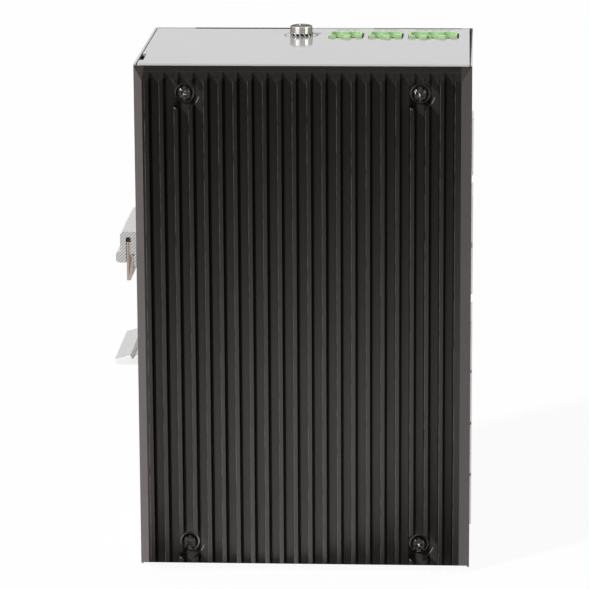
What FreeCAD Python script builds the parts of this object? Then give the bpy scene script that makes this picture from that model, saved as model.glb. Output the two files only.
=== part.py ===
import FreeCAD, Part
import math
import os
import Sketcher

# Managed Ethernet switch for a 35 mm rail. X runs from the rear (rail side) to the front (port side),
# Y from the finned side to the far side, Z up. The origin is on the base, under the middle of the depth
# and of the overall width. Lengths are in millimetres.

Vector = FreeCAD.Vector
doc = FreeCAD.newDocument("RailSwitch")
sheet = doc.addObject("Spreadsheet::Sheet", "Sizes")


class Size:
    """A length of the model: its value now and the spreadsheet expression that gives it."""

    def __init__(self, value, text=None):
        self.value = float(value)
        self.text = text or repr(self.value)

    def __add__(self, other):
        other = as_size(other)
        return Size(self.value + other.value, f"({self.text} + {other.text})")

    def __sub__(self, other):
        other = as_size(other)
        return Size(self.value - other.value, f"({self.text} - {other.text})")

    def __mul__(self, other):
        other = as_size(other)
        return Size(self.value * other.value, f"({self.text} * {other.text})")

    def __truediv__(self, other):
        other = as_size(other)
        return Size(self.value / other.value, f"({self.text} / {other.text})")

    def __neg__(self):
        return Size(-self.value, f"(0 - {self.text})")

    def __radd__(self, other):
        return as_size(other) + self

    def __rsub__(self, other):
        return as_size(other) - self

    def __rmul__(self, other):
        return as_size(other) * self


def as_size(value):
    return value if isinstance(value, Size) else Size(value)


def cell(alias, value):
    """Write one driving dimension into the next row of the sheet."""
    row = len(cell.rows) + 1
    cell.rows.append(alias)
    sheet.set(f"A{row}", alias)
    sheet.set(f"B{row}", str(value))
    sheet.setAlias(f"B{row}", alias)
    return Size(value, f"Sizes.{alias}")


cell.rows = []

# Case
depth = cell("depth", 105.0)
height = cell("height", 162.0)
chassis_width = cell("chassis_width", 74.0)
sheet_gauge = cell("sheet_gauge", 1.0)
cover_gauge = cell("cover_gauge", 0.7)
inner_bend = cell("inner_bend", 0.3)
rear_slack = cell("rear_slack", 0.02)
front_seam = cell("front_seam", 0.15)
seam_flare = cell("seam_flare", 0.3)
flange_height = cell("flange_height", 11.0)
latch_notch_length = cell("latch_notch_length", 12.0)
latch_notch_depth = cell("latch_notch_depth", 1.3)
latch_notch_start = cell("latch_notch_start", 8.0)

# Heat sink
sink_thickness = cell("sink_thickness", 8.0)
sink_reveal = cell("sink_reveal", 0.4)
side_bevel = cell("side_bevel", 3.3)
top_bevel = cell("top_bevel", 3.4)
foot_bevel = cell("foot_bevel", 2.6)
groove_pitch = cell("groove_pitch", 4.56)
groove_width = cell("groove_width", 3.26)
fin_height = cell("fin_height", 4.9)
mill_radius = cell("mill_radius", 4.6)
head_bore_radius = cell("head_bore_radius", 3.15)
head_bore_depth = cell("head_bore_depth", 1.3)
sink_screw_inset = cell("sink_screw_inset", 8.5)

# Screws, nuts and spacers
screw_radius = cell("screw_radius", 1.5)
screw_clearance = cell("screw_clearance", 0.1)
pan_radius = cell("pan_radius", 2.8)
pan_height = cell("pan_height", 1.9)
pan_round = cell("pan_round", 1.1)
low_head_height = cell("low_head_height", 1.2)
low_head_round = cell("low_head_round", 0.7)
nut_radius = cell("nut_radius", 2.8)
nut_height = cell("nut_height", 1.5)
cover_screw_inset_x = cell("cover_screw_inset_x", 11.0)
cover_screw_inset_z = cell("cover_screw_inset_z", 6.5)
ground_radius = cell("ground_radius", 2.0)
ground_head_radius = cell("ground_head_radius", 3.6)
ground_head_height = cell("ground_head_height", 2.5)
ground_head_round = cell("ground_head_round", 0.9)
ground_length = cell("ground_length", 6.5)
ground_nut_radius = cell("ground_nut_radius", 4.0)
ground_nut_height = cell("ground_nut_height", 2.0)
washer_radius = cell("washer_radius", 4.2)
washer_gauge = cell("washer_gauge", 0.8)
washer_teeth = 14
ground_spacing = cell("ground_spacing", 9.2)
ground_y = cell("ground_y", 25.5)

# Rail bracket
bracket_length = cell("bracket_length", 38.4)
bracket_foot = cell("bracket_foot", 62.3)
bracket_web = cell("bracket_web", 1.4)
bracket_pad = cell("bracket_pad", 2.2)
hook_back = cell("hook_back", 3.1)
slot_width = cell("slot_width", 1.6)
slot_depth = cell("slot_depth", 8.3)
hook_back_length = cell("hook_back_length", 5.55)
pad_length = cell("pad_length", 9.55)
hook_leg = cell("hook_leg", 1.85)
hook_roof = cell("hook_roof", 1.75)
hook_rise = cell("hook_rise", 41.75)
toe_reach = cell("toe_reach", 1.4)
toe_height = cell("toe_height", 3.7)
lip_reach = cell("lip_reach", 8.9)
lip_tip = cell("lip_tip", 1.5)
lip_peak_reach = cell("lip_peak_reach", 3.9)
lip_peak = cell("lip_peak", 2.9)
lip_notch = cell("lip_notch", 1.3)
bracket_screw_y = cell("bracket_screw_y", 6.0)
bracket_screw_low = cell("bracket_screw_low", 11.0)
bracket_screw_drop = cell("bracket_screw_drop", 16.75)
leaf_gauge = cell("leaf_gauge", 0.65)
leaf_drop = cell("leaf_drop", 6.1)
leaf_clear = cell("leaf_clear", 0.05)
leaf_tuck = cell("leaf_tuck", 1.8)
leaf_inset = cell("leaf_inset", 1.2)

# Pluggable terminal headers
pole_pitch = cell("pole_pitch", 5.08)
header_margin = cell("header_margin", 0.5)
header_depth = cell("header_depth", 8.0)
header_height = cell("header_height", 12.0)
header_proud = cell("header_proud", 0.75)
header_wall = cell("header_wall", 0.8)
header_floor = cell("header_floor", 3.2)
header_row = cell("header_row", 46.6)
header_gap = cell("header_gap", 2.25)
lobe_reach = cell("lobe_reach", 1.9)
lobe_width = cell("lobe_width", 2.2)
scallop_radius = cell("scallop_radius", 1.95)
scallop_depth = cell("scallop_depth", 0.8)
notch_width = cell("notch_width", 1.5)
notch_depth = cell("notch_depth", 2.2)
pin_width = cell("pin_width", 1.0)
pin_below_rim = cell("pin_below_rim", 1.3)
pin_tail = cell("pin_tail", 3.2)
pin_drop = cell("pin_drop", 1.7)
cutout_left = cell("cutout_left", 0.2)
cutout_right = cell("cutout_right", 0.5)
cutout_side = cell("cutout_side", 0.3)

# Boards
board_gauge = cell("board_gauge", 1.6)
board_inset = cell("board_inset", 5.0)
board_rear = cell("board_rear", 8.5)
board_front = cell("board_front", 3.5)
wall_standoff = cell("wall_standoff", 5.0)
spacer_flats = cell("spacer_flats", 5.5)
spacer_rear = cell("spacer_rear", 12.0)
spacer_front = cell("spacer_front", 31.0)
spacer_low = cell("spacer_low", 16.0)
spacer_top = cell("spacer_top", 22.0)
stud_length = cell("stud_length", 4.5)
power_board_back = cell("power_board_back", 9.4)
link_width = cell("link_width", 8.0)
link_length = cell("link_length", 40.0)
link_gap = cell("link_gap", 2.0)
plug_reach = cell("plug_reach", 7.0)
socket_reach = cell("socket_reach", 3.5)

# Ports on the front
port_proud = cell("port_proud", 0.5)
jack_width = cell("jack_width", 16.0)
jack_pitch = cell("jack_pitch", 17.0)
jack_level = cell("jack_level", 13.0)
jack_depth = cell("jack_depth", 25.0)
jack_first = cell("jack_first", 20.0)
port_width = cell("port_width", 11.8)
port_height = cell("port_height", 7.0)
port_depth = cell("port_depth", 15.0)
port_inset = cell("port_inset", 2.0)
latch_width = cell("latch_width", 6.2)
latch_height = cell("latch_height", 1.8)
console_drop = cell("console_drop", 26.0)
console_depth = cell("console_depth", 18.0)
cage_width = cell("cage_width", 15.0)
cage_level = cell("cage_level", 10.0)
cage_depth = cell("cage_depth", 48.0)
cage_wall = cell("cage_wall", 0.4)
cage_pitch = cell("cage_pitch", 16.6)
panel_gap = cell("panel_gap", 0.3)
lamp_radius = cell("lamp_radius", 1.5)
lamp_pitch = cell("lamp_pitch", 4.5)
lamp_drop = cell("lamp_drop", 50.0)
lamp_housing = cell("lamp_housing", 5.0)
lamp_count = 6

# Parts on the boards
chip_side = cell("chip_side", 27.0)
chip_height = cell("chip_height", 2.2)
chip_x = cell("chip_x", -8.0)
chip_z = cell("chip_z", 84.0)
pad_side = cell("pad_side", 24.0)
port_chip_side = cell("port_chip_side", 10.0)
port_chip_height = cell("port_chip_height", 1.2)
port_chip_x = cell("port_chip_x", 8.0)
transformer_x = cell("transformer_x", -34.0)
transformer_drop = cell("transformer_drop", 50.0)
transformer_side = cell("transformer_side", 20.0)
transformer_height = cell("transformer_height", 14.0)
capacitor_radius = cell("capacitor_radius", 5.0)
capacitor_height = cell("capacitor_height", 16.0)
capacitor_x = cell("capacitor_x", -3.0)
capacitor_pitch = cell("capacitor_pitch", 12.0)
capacitor_drop = cell("capacitor_drop", 50.0)
relay_length = cell("relay_length", 15.0)
relay_width = cell("relay_width", 10.0)
relay_height = cell("relay_height", 11.0)
relay_x = cell("relay_x", 28.0)
relay_drop = cell("relay_drop", 34.0)

# Planes that the pieces share
overall_width = chassis_width + sink_thickness
rear_face = -depth / 2
front_face = depth / 2
joint_face = -overall_width / 2 + sink_thickness
far_face = overall_width / 2
wall_inner = joint_face + sheet_gauge
bend_radius = inner_bend + sheet_gauge
cover_bend_radius = inner_bend + cover_gauge
flange_face = far_face - cover_gauge
main_board_back = wall_inner + wall_standoff
main_board_face = main_board_back + board_gauge
power_board_face = flange_face - power_board_back - board_gauge
header_near = power_board_face - header_depth
header_foot = height + header_proud - header_height
header_start = front_face - header_row
ground_x = header_start - ground_spacing
link_foot = height - transformer_drop - transformer_side / 2 - link_gap - link_length
board_start = rear_face + board_rear
board_end = front_face - board_front
groove_floor = joint_face - sink_thickness + fin_height
port_front = front_face + port_proud

parts = []


# ---------------------------------------------------------------- drawing helpers

def bind(item, name, size):
    """Set a property now and tie it to its sheet expression."""
    item.setExpression(name, as_size(size).text)


def origin_plane(body, role):
    return [item for item in body.Origin.OriginFeatures if item.Role == role][0]


def new_body(name):
    body = doc.addObject("PartDesign::Body", name)
    body.Label = name
    return body


def new_sketch(body, name, role, offset=0.0):
    sketch = body.newObject("Sketcher::SketchObject", name)
    sketch.AttachmentSupport = (origin_plane(body, role), "")
    sketch.MapMode = "FlatFace"
    bind(sketch, "AttachmentOffset.Base.z", offset)
    return sketch


def constrain(sketch, kind, *where):
    """Add a dimension whose last argument is a Size, tied to the sheet."""
    size = as_size(where[-1])
    index = sketch.addConstraint(Sketcher.Constraint(kind, *where[:-1], size.value))
    if "Sizes." in size.text:
        sketch.setExpression(f"Constraints[{index}]", size.text)


def direction(start, end):
    """Unit step along an axis from one corner to the next."""
    step_x = end[0].value - start[0].value
    step_y = end[1].value - start[1].value
    length = math.hypot(step_x, step_y)
    return round(step_x / length), round(step_y / length)


def draw(sketch, *corners):
    """Closed outline through (x, y) corners; a third value rounds a square corner."""
    corners = [tuple(as_size(value) for value in corner) for corner in corners]
    points = []
    for index, corner in enumerate(corners):
        if len(corner) == 2:
            points.append((corner[0], corner[1], None))
            continue
        x, y, radius = corner
        into = direction(corners[index - 1], corner)
        out = direction(corner, corners[(index + 1) % len(corners)])
        points.append((x - radius * into[0], y - radius * into[1], (radius, into, out)))
        points.append((x + radius * out[0], y + radius * out[1], None))
    first = sketch.GeometryCount
    ends = []
    for index, (x, y, bend) in enumerate(points):
        next_x, next_y = points[(index + 1) % len(points)][:2]
        start = Vector(x.value, y.value, 0)
        end = Vector(next_x.value, next_y.value, 0)
        if bend is None:
            sketch.addGeometry(Part.LineSegment(start, end), False)
            ends.append((1, 2))
            continue
        radius, into, out = bend
        centre = start + Vector(out[0], out[1], 0) * radius.value
        circle = Part.Circle(centre, Vector(0, 0, 1), radius.value)
        turns_left = into[0] * out[1] - into[1] * out[0] > 0
        low, high = (start, end) if turns_left else (end, start)
        low_angle = math.atan2(low.y - centre.y, low.x - centre.x)
        high_angle = math.atan2(high.y - centre.y, high.x - centre.x)
        sketch.addGeometry(Part.ArcOfCircle(circle, low_angle, high_angle), False)
        ends.append((1, 2) if turns_left else (2, 1))
    for index, (x, y, bend) in enumerate(points):
        here = first + index
        after = (index + 1) % len(points)
        sketch.addConstraint(Sketcher.Constraint("Coincident", here, ends[index][1], first + after, ends[after][0]))
        constrain(sketch, "DistanceX", -1, 1, here, ends[index][0], x)
        constrain(sketch, "DistanceY", -1, 1, here, ends[index][0], y)
        if bend is not None:
            constrain(sketch, "Radius", here, bend[0])
    return sketch


def draw_box(sketch, left, low, right, high, radius=None):
    corner = () if radius is None else (radius,)
    return draw(sketch, (left, low) + corner, (right, low) + corner, (right, high) + corner, (left, high) + corner)


def draw_circle(sketch, x, y, radius):
    x = as_size(x)
    y = as_size(y)
    radius = as_size(radius)
    sketch.addGeometry(Part.Circle(Vector(x.value, y.value, 0), Vector(0, 0, 1), radius.value), False)
    index = sketch.GeometryCount - 1
    constrain(sketch, "DistanceX", -1, 1, index, 3, x)
    constrain(sketch, "DistanceY", -1, 1, index, 3, y)
    constrain(sketch, "Radius", index, radius)
    return sketch


def feature(kind, body, name, sketch, length, flip):
    item = body.newObject(f"PartDesign::{kind}", name)
    item.Profile = sketch
    bind(item, "Length", length)
    item.Reversed = flip
    body.Tip = item
    return item


def pad(body, name, sketch, length, flip=False):
    return feature("Pad", body, name, sketch, length, flip)


def pocket(body, name, sketch, length, flip=False):
    return feature("Pocket", body, name, sketch, length, flip)


def revolve(body, name, sketch):
    """Full turn about the sketch's vertical axis."""
    item = body.newObject("PartDesign::Revolution", name)
    item.Profile = sketch
    item.ReferenceAxis = (sketch, ["V_Axis"])
    item.Angle = 360
    body.Tip = item
    return item


def place(item, x, y, z, rotation=None):
    item.Placement = FreeCAD.Placement(Vector(), rotation or FreeCAD.Rotation())
    bind(item, "Placement.Base.x", x)
    bind(item, "Placement.Base.y", y)
    bind(item, "Placement.Base.z", z)
    return item


def copies(label, source, places):
    """One node of separate, equal solids: a link to the source at each (x, y, z, rotation)."""
    links = []
    for index, where in enumerate(places):
        link = doc.addObject("App::Link", f"{label}_{index + 1}")
        link.LinkedObject = source
        place(link, *where)
        links.append(link)
    group = doc.addObject("Part::Compound", label)
    group.Label = label
    group.Links = links
    parts.append(group)
    return group


def block(label, left, near, low, length, width, rise):
    """Plain moulded block, by its lowest corner."""
    body = new_body(label)
    outline = draw_box(new_sketch(body, "Outline", "XY_Plane"), 0, 0, length, width)
    pad(body, "Block", outline, rise)
    place(body, left, near, low)
    parts.append(body)
    return body


TOWARD_NEAR = FreeCAD.Rotation(Vector(1, 0, 0), 90)
TOWARD_FAR = FreeCAD.Rotation(Vector(1, 0, 0), -90)
TOWARD_REAR = FreeCAD.Rotation(Vector(0, 1, 0), -90)
TOWARD_FRONT = FreeCAD.Rotation(Vector(0, 1, 0), 90)

# ---------------------------------------------------------------- places shared by holes and fasteners

screw_hole = screw_radius + screw_clearance
screw_groove = 8
groove_count = 21
sink_screw_places = [
    (side * screw_groove * groove_pitch, level)
    for side in (-1, 1)
    for level in (sink_screw_inset, height - sink_screw_inset)
]
cover_screw_places = [
    (across, level)
    for across in (rear_face + cover_screw_inset_x, front_face - cover_screw_inset_x)
    for level in (cover_screw_inset_z, height - cover_screw_inset_z)
]
bracket_screw_places = [
    (side * bracket_screw_y, bracket_foot + level)
    for side in (-1, 1)
    for level in (bracket_screw_low, hook_rise - bracket_screw_drop)
]
spacer_places = [
    (across, level)
    for across in (rear_face + spacer_rear, front_face - spacer_front)
    for level in (spacer_low, height - spacer_top)
]
jack_levels = [jack_first + jack_pitch * index for index in range(4)]
console_level = height - console_drop
jacks_top = jack_levels[-1] + jack_width / 2
cages_room = console_level - jack_width / 2 - jacks_top
cage_first = jacks_top + (cages_room - cage_pitch) / 2
cage_levels = [cage_first, cage_first + cage_pitch]
lamp_levels = [height - lamp_drop + lamp_pitch * index for index in range(lamp_count)]
lamp_y = power_board_face - lamp_housing / 2


def header_width(poles):
    return poles * pole_pitch + header_margin


def pole_x(index):
    """Middle of a pole, from the header's left end."""
    return header_margin / 2 + pole_pitch * (index + 0.5)


# Each header: its left end, its poles, and the side of each gap between poles that carries the lobe.
header_plan = []
header_left = header_start
for poles, lobes in ((2, ("right",)), (2, ("right",)), (3, ("left", "right"))):
    header_plan.append((header_left, poles, lobes))
    header_left = header_left + header_width(poles) + header_gap


# ---------------------------------------------------------------- case

def base_chassis():
    """Folded sheet: the wall behind the heat sink, the top, the base and a flange on each far edge."""
    body = new_body("base_chassis")
    plate_start = rear_face + cover_gauge + inner_bend + rear_slack
    plate_end = front_face - cover_gauge - front_seam
    flange_back = flange_face - sheet_gauge
    fold = draw(
        new_sketch(body, "Fold", "YZ_Plane", plate_start),
        (flange_face, height - flange_height),
        (flange_face, height, bend_radius),
        (joint_face, height, bend_radius),
        (joint_face, 0, bend_radius),
        (flange_face, 0, bend_radius),
        (flange_face, flange_height),
        (flange_back, flange_height),
        (flange_back, sheet_gauge, inner_bend),
        (wall_inner, sheet_gauge, inner_bend),
        (wall_inner, height - sheet_gauge, inner_bend),
        (flange_back, height - sheet_gauge, inner_bend),
        (flange_back, height - flange_height),
    )
    pad(body, "Sheet", fold, plate_end - plate_start)

    flare = draw(
        new_sketch(body, "FrontFlare", "XY_Plane", height),
        (plate_end, joint_face + bend_radius),
        (plate_end + sheet_gauge, joint_face + bend_radius),
        (plate_end + sheet_gauge, far_face),
        (plate_end - seam_flare, far_face),
    )
    pocket(body, "FlaredEdge", flare, height)

    notch_low = joint_face + latch_notch_start
    top = new_sketch(body, "TopOpenings", "XY_Plane", height)
    draw_box(top, plate_start - sheet_gauge, notch_low, plate_start + latch_notch_depth, notch_low + latch_notch_length)
    draw_circle(top, ground_x, ground_y, ground_radius + screw_clearance)
    for left, poles, lobes in header_plan:
        draw_box(
            top,
            left - cutout_left,
            header_near - lobe_reach - cutout_side,
            left + header_width(poles) + cutout_right,
            power_board_face + cutout_side,
        )
    pocket(body, "TopCuts", top, sheet_gauge)

    wall = new_sketch(body, "WallHoles", "XZ_Plane", -joint_face)
    for x, z in sink_screw_places:
        draw_circle(wall, x, z, screw_hole)
    pocket(body, "WallCuts", wall, sheet_gauge)

    flange = new_sketch(body, "FlangeHoles", "XZ_Plane", -flange_face)
    for x, z in cover_screw_places:
        draw_circle(flange, x, z, screw_hole)
    pocket(body, "FlangeCuts", flange, sheet_gauge, flip=True)
    parts.append(body)


def cover():
    """Folded sheet: rear, far side and front, with the port cut-outs."""
    body = new_body("cover")
    fold = draw(
        new_sketch(body, "Fold", "XY_Plane"),
        (rear_face, joint_face),
        (rear_face, far_face, cover_bend_radius),
        (front_face, far_face, cover_bend_radius),
        (front_face, joint_face),
        (front_face - cover_gauge, joint_face),
        (front_face - cover_gauge, flange_face, inner_bend),
        (rear_face + cover_gauge, flange_face, inner_bend),
        (rear_face + cover_gauge, joint_face),
    )
    pad(body, "Sheet", fold, height)

    ports = new_sketch(body, "PortOpenings", "YZ_Plane", front_face)
    for levels, rows, row_height, width in (
        (jack_levels, 2, jack_level, jack_width),
        (cage_levels, 2, cage_level, cage_width),
        ([console_level], 1, jack_level, jack_width),
    ):
        draw_box(
            ports,
            main_board_face - panel_gap,
            levels[0] - width / 2 - panel_gap,
            main_board_face + rows * row_height + panel_gap,
            levels[-1] + width / 2 + panel_gap,
        )
    for level in lamp_levels:
        draw_circle(ports, lamp_y, level, lamp_radius + screw_clearance)
    pocket(body, "PortCuts", ports, cover_gauge)

    rear = new_sketch(body, "RearHoles", "YZ_Plane", rear_face)
    for y, z in bracket_screw_places:
        draw_circle(rear, y, z, screw_hole)
    pocket(body, "RearCuts", rear, cover_gauge, flip=True)

    side = new_sketch(body, "SideHoles", "XZ_Plane", -far_face)
    for x, z in cover_screw_places:
        draw_circle(side, x, z, screw_hole)
    pocket(body, "SideCuts", side, cover_gauge, flip=True)
    parts.append(body)


def heat_sink():
    """Bevelled plate with a row of milled grooves, and a pocket round each of its four screws."""
    body = new_body("heat_sink")
    back = new_sketch(body, "Back", "XZ_Plane", -joint_face)
    draw_box(back, rear_face, sink_reveal, front_face, height - sink_reveal)
    sink_face = joint_face - sink_thickness
    face = new_sketch(body, "Face", "XZ_Plane", -sink_face)
    draw_box(
        face,
        rear_face + side_bevel,
        sink_reveal + foot_bevel,
        front_face - side_bevel,
        height - sink_reveal - top_bevel,
    )
    plate = body.newObject("PartDesign::AdditiveLoft", "BevelledPlate")
    plate.Profile = back
    plate.Sections = [face]
    plate.Ruled = True
    body.Tip = plate

    first_groove = -groove_pitch * (groove_count - 1) / 2
    groove = new_sketch(body, "Groove", "XZ_Plane", -sink_face)
    draw_box(groove, first_groove - groove_width / 2, 0, first_groove + groove_width / 2, height)
    first = pocket(body, "FirstGroove", groove, fin_height)
    row = body.newObject("PartDesign::LinearPattern", "Grooves")
    row.Originals = [first]
    row.Direction = (groove, ["H_Axis"])
    bind(row, "Length", groove_pitch * (groove_count - 1))
    row.Occurrences = groove_count
    body.Tip = row

    for name, radius, start, cut in (
        ("Mill", mill_radius, sink_face, fin_height),
        ("HeadBore", head_bore_radius, groove_floor, head_bore_depth),
        ("ScrewHole", screw_hole, groove_floor, joint_face - groove_floor),
    ):
        rings = new_sketch(body, name, "XZ_Plane", -start)
        for x, z in sink_screw_places:
            draw_circle(rings, x, z, radius)
        pocket(body, f"{name}Cuts", rings, cut)
    parts.append(body)


# ---------------------------------------------------------------- rail bracket

hook_reach = hook_back + slot_width + hook_leg
hook_top = hook_rise + hook_roof
leg_end = hook_rise - slot_depth
back_end = hook_rise - hook_back_length


def rail_bracket():
    """Extrusion: a hook over the rail's upper edge, a thin web and a wedge lip below its lower edge."""
    body = new_body("rail_bracket")
    section = draw(
        new_sketch(body, "Section", "XZ_Plane", bracket_length / 2),
        (0, 0),
        (0, hook_top),
        (-hook_reach, hook_top, 1.2),
        (-hook_reach, leg_end + toe_height),
        (-hook_reach - toe_reach, leg_end + toe_height, 1.2),
        (-hook_reach - toe_reach, leg_end, 1.2),
        (-hook_back - slot_width, leg_end),
        (-hook_back - slot_width, hook_rise, 0.45 * slot_width),
        (-hook_back, hook_rise, 0.45 * slot_width),
        (-hook_back, back_end),
        (-bracket_pad, back_end),
        (-bracket_pad, hook_rise - pad_length),
        (-bracket_web, hook_rise - pad_length),
        (-bracket_web, lip_peak),
        (-bracket_pad, lip_peak),
        (-(bracket_pad + lip_peak_reach) / 2, lip_peak - lip_notch),
        (-lip_peak_reach, lip_peak),
        (-lip_reach, lip_tip),
        (-lip_reach + 0.4 * lip_tip, 0),
    )
    pad(body, "Extrusion", section, bracket_length, flip=True)
    holes = new_sketch(body, "Holes", "YZ_Plane")
    for y, z in bracket_screw_places:
        draw_circle(holes, y, z - bracket_foot, screw_hole)
    pocket(body, "HoleCuts", holes, bracket_pad)
    place(body, rear_face, 0, bracket_foot)
    parts.append(body)


def rail_spring():
    """Leaf folded into a narrow bow, tucked into the hook's slot above the rail's edge."""
    body = new_body("rail_spring")
    back = -hook_back - leaf_clear
    front = -hook_back - slot_width + leaf_clear
    top = hook_rise - leaf_tuck
    bulge = -bracket_pad - leaf_clear
    bulge_level = back_end - 1.2
    foot = leg_end - leaf_drop
    bow = draw(
        new_sketch(body, "Bow", "XZ_Plane", bracket_length / 2 - leaf_inset),
        (back, top),
        (back, back_end - leaf_clear),
        (bulge, bulge_level),
        ((bulge + front) / 2, foot),
        (front, foot),
        (front, top),
        (front + leaf_gauge, top),
        (front + leaf_gauge, foot + 2 * leaf_gauge),
        (bulge - leaf_gauge, bulge_level - leaf_gauge / 2),
        (back - leaf_gauge, back_end + leaf_gauge / 2),
        (back - leaf_gauge, top),
    )
    pad(body, "Leaf", bow, bracket_length - 2 * leaf_inset, flip=True)
    place(body, rear_face, 0, bracket_foot)
    parts.append(body)


# ---------------------------------------------------------------- fasteners

def cross_recess(body, radius, level):
    """Cross recess sunk from the top of a screw head."""
    long = radius * 0.55
    thin = radius * 0.13
    cross = draw(
        new_sketch(body, "Cross", "XY_Plane", level),
        (thin, -long),
        (thin, -thin),
        (long, -thin),
        (long, thin),
        (thin, thin),
        (thin, long),
        (-thin, long),
        (-thin, thin),
        (-long, thin),
        (-long, -thin),
        (-thin, -thin),
        (-thin, -long),
    )
    pocket(body, "Recess", cross, level * 0.6)


def screw(name, head_radius, head_height, head_round, shank_radius, length):
    """Pan-head screw standing on the origin, head up, with its thread drawn as a plain shank."""
    body = new_body(name)
    profile = draw(
        new_sketch(body, "Profile", "XZ_Plane"),
        (0, -length),
        (shank_radius, -length),
        (shank_radius, 0),
        (head_radius, 0),
        (head_radius, head_height, head_round),
        (0, head_height),
    )
    revolve(body, "Turned", profile)
    cross_recess(body, head_radius, head_height)
    return body


def collar(name, outer_radius, inner_radius, length):
    """Turned ring standing on the origin."""
    body = new_body(name)
    profile = new_sketch(body, "Profile", "XZ_Plane")
    draw_box(profile, inner_radius, 0, outer_radius, length)
    revolve(body, "Turned", profile)
    return body


def fasteners():
    sink_seat = groove_floor + head_bore_depth
    sink_screw = screw(
        "SinkScrew", pan_radius, pan_height, pan_round, screw_radius, wall_inner - sink_seat + nut_height
    )
    copies("sink_screws", sink_screw, [(x, sink_seat, z, TOWARD_NEAR) for x, z in sink_screw_places])

    cover_screw = screw(
        "CoverScrew", pan_radius, pan_height, pan_round, screw_radius, cover_gauge + sheet_gauge + nut_height
    )
    copies("cover_screws", cover_screw, [(x, far_face, z, TOWARD_FAR) for x, z in cover_screw_places])

    bracket_seat = rear_face - bracket_web
    bracket_screw = screw(
        "BracketScrew",
        pan_radius,
        low_head_height,
        low_head_round,
        screw_radius,
        bracket_web + cover_gauge + nut_height,
    )
    copies("bracket_screws", bracket_screw, [(bracket_seat, y, z, TOWARD_REAR) for y, z in bracket_screw_places])

    nut = collar("ClinchNut", nut_radius, screw_hole, nut_height)
    nut_places = [(x, wall_inner, z, TOWARD_FAR) for x, z in sink_screw_places]
    nut_places += [(x, flange_face - sheet_gauge, z, TOWARD_NEAR) for x, z in cover_screw_places]
    nut_places += [(rear_face + cover_gauge, y, z, TOWARD_FRONT) for y, z in bracket_screw_places]
    copies("clinch_nuts", nut, nut_places)


def ground_terminal():
    """Earth screw with its external-tooth washer on the top plate, and the nut below the plate."""
    screw_body = screw(
        "ground_screw", ground_head_radius, ground_head_height, ground_head_round, ground_radius, ground_length
    )
    place(screw_body, ground_x, ground_y, height + washer_gauge)
    parts.append(screw_body)

    washer = new_body("ground_washer")
    ring = new_sketch(washer, "Ring", "XY_Plane")
    rim = []
    for index in range(4 * washer_teeth):
        angle = 2 * math.pi * (index - 0.5) / (4 * washer_teeth)
        radius = washer_radius if index % 4 < 2 else washer_radius - 0.7
        rim.append((radius * math.cos(angle), radius * math.sin(angle)))
    draw(ring, *rim)
    draw_circle(ring, 0, 0, ground_radius + screw_clearance)
    pad(washer, "Washer", ring, washer_gauge)
    place(washer, ground_x, ground_y, height)
    parts.append(washer)

    nut = collar("ground_nut", ground_nut_radius, ground_radius + screw_clearance, ground_nut_height)
    place(nut, ground_x, ground_y, height - sheet_gauge - ground_nut_height)
    parts.append(nut)


# ---------------------------------------------------------------- pluggable terminal headers

def lobe(edge, side):
    """Four corners of the rib on the near wall, beside the notch whose edge is given."""
    lean = 0.35
    if side == "left":
        return [
            (edge, 0),
            (edge + lean, -lobe_reach),
            (edge + lobe_width, -lobe_reach),
            (edge + lobe_width + lean, 0),
        ]
    return [
        (edge - lobe_width - lean, 0),
        (edge - lobe_width, -lobe_reach),
        (edge - lean, -lobe_reach),
        (edge, 0),
    ]


def terminal_header(label, left, poles, lobes):
    """Open-topped housing: ribbed and notched near wall, scalloped far wall, a pin hole for each pole."""
    body = new_body(label)
    width = header_width(poles)
    outline = [(0, header_depth), (0, 0)]
    for gap, side in enumerate(lobes):
        if side == "left":
            outline += lobe(pole_x(gap) + notch_width / 2, side)
        else:
            outline += lobe(pole_x(gap + 1) - notch_width / 2, side)
    outline += [(width, 0), (width, header_depth)]
    pad(body, "Housing", draw(new_sketch(body, "Outline", "XY_Plane"), *outline), header_height)

    cavity_depth = header_height - header_floor
    cavity = new_sketch(body, "Cavity", "XY_Plane", header_height)
    far_wall = header_depth - header_wall
    draw_box(cavity, header_wall, header_wall, width - header_wall, far_wall - scallop_depth)
    pocket(body, "CavityCut", cavity, cavity_depth)
    scallops = new_sketch(body, "Scallops", "XY_Plane", header_height)
    for index in range(poles):
        draw_circle(scallops, pole_x(index), far_wall - scallop_radius, scallop_radius)
    pocket(body, "ScallopCuts", scallops, cavity_depth)

    notches = new_sketch(body, "Notches", "XZ_Plane", 0)
    holes = new_sketch(body, "PinHoles", "XY_Plane", 0)
    for index in range(poles):
        middle = pole_x(index)
        draw(
            notches,
            (middle - notch_width / 2, header_height),
            (middle - notch_width / 6, header_height - notch_depth),
            (middle + notch_width / 6, header_height - notch_depth),
            (middle + notch_width / 2, header_height),
        )
        draw_box(
            holes,
            middle - pin_width / 2,
            header_depth / 2 - pin_width / 2,
            middle + pin_width / 2,
            header_depth / 2 + pin_width / 2,
        )
    pocket(body, "NotchCuts", notches, header_wall)
    pocket(body, "PinHoleCuts", holes, header_floor, flip=True)
    place(body, left, header_near, header_foot)
    parts.append(body)


def header_pins():
    """Square pins bent through a right angle, up into the header and back through the board."""
    body = new_body("HeaderPin")
    half = pin_width / 2
    tip = header_height - pin_below_rim
    tail = header_depth / 2 + board_gauge + pin_tail / 2
    bend = draw(
        new_sketch(body, "Bend", "YZ_Plane", -half),
        (-half, tip),
        (-half, -pin_drop, 0.9),
        (tail, -pin_drop),
        (tail, pin_width - pin_drop),
        (half, pin_width - pin_drop),
        (half, tip),
    )
    pad(body, "Wire", bend, pin_width)
    places = [
        (left + pole_x(index), header_near + header_depth / 2, header_foot, None)
        for left, poles, lobes in header_plan
        for index in range(poles)
    ]
    copies("header_pins", body, places)


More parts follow.
